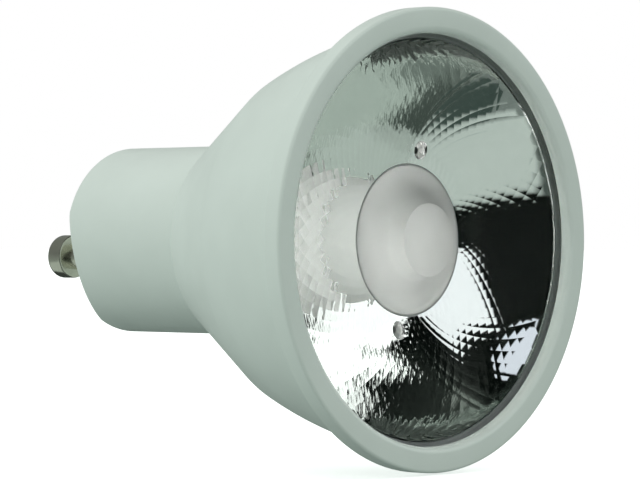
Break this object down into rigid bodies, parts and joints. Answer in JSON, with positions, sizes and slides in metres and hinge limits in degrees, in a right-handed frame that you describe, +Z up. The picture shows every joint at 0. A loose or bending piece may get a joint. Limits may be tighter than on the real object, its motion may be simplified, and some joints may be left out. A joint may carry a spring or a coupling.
{
  "type": "gu10 spotlight bulb",
  "caption": "Spotlight bulb with a twist-lock pin base, a flared white plastic housing and a clear faceted optic over its light source.",
  "frame": {"origin": "centre of the base's end face, between the two pins, where the bulb meets its holder", "axes": "+Y along the lamp axis out of the base, as the pins point; the beam leaves towards -Y; +Z up with the axis level, as in the picture"},
  "size_m": [0.05, 0.055, 0.05],
  "materials": {
    "white_plastic": "satin moulded white plastic",
    "clear_optic": "clear moulded optic, polished facets that mirror",
    "nickel_pin": "nickel-plated turned metal",
    "aluminium": "drawn aluminium",
    "holder_plastic": "matt white moulded plastic",
    "steel_screw": "plated steel",
    "emitter_ceramic": "white ceramic",
    "phosphor": "yellow phosphor gel",
    "silicone": "white silicone",
    "pad_silicone": "soft grey pad",
    "red_insulation": "soft red insulation",
    "black_insulation": "soft black insulation",
    "board_laminate": "green printed board",
    "tinned_wire": "tinned copper wire",
    "resistor_lacquer": "green lacquer",
    "moulded_package": "black moulded package",
    "capacitor_sleeve": "dark shrink sleeve",
    "film_box": "dipped red-brown box",
    "ferrite": "dark ferrite",
    "copper_winding": "lacquered copper wire",
    "chip_resistor": "black glazed chip"
  },
  "bodies": {
    "root": {"housing_shell": "white_plastic", "bezel_ring": "white_plastic", "optic_lens": "clear_optic", "contact_pin_left": "nickel_pin", "contact_pin_right": "nickel_pin", "heat_sink": "aluminium", "emitter_holder": "holder_plastic", "holder_screws": "steel_screw", "emitter_board": "emitter_ceramic", "emitter_disc": "phosphor", "emitter_dam": "silicone", "thermal_pad": "pad_silicone", "supply_wire_positive": "red_insulation", "supply_wire_negative": "black_insulation", "driver_board": "board_laminate", "pin_lead_live": "tinned_wire", "pin_lead_neutral": "tinned_wire", "fusible_resistor": "resistor_lacquer", "bridge_rectifier": "moulded_package", "bulk_capacitor": "capacitor_sleeve", "film_capacitor": "film_box", "inductor_core": "ferrite", "inductor_winding": "copper_winding", "driver_chip": "moulded_package", "sense_resistors": "chip_resistor", "output_capacitor": "capacitor_sleeve"}
  },
  "joints": []
}
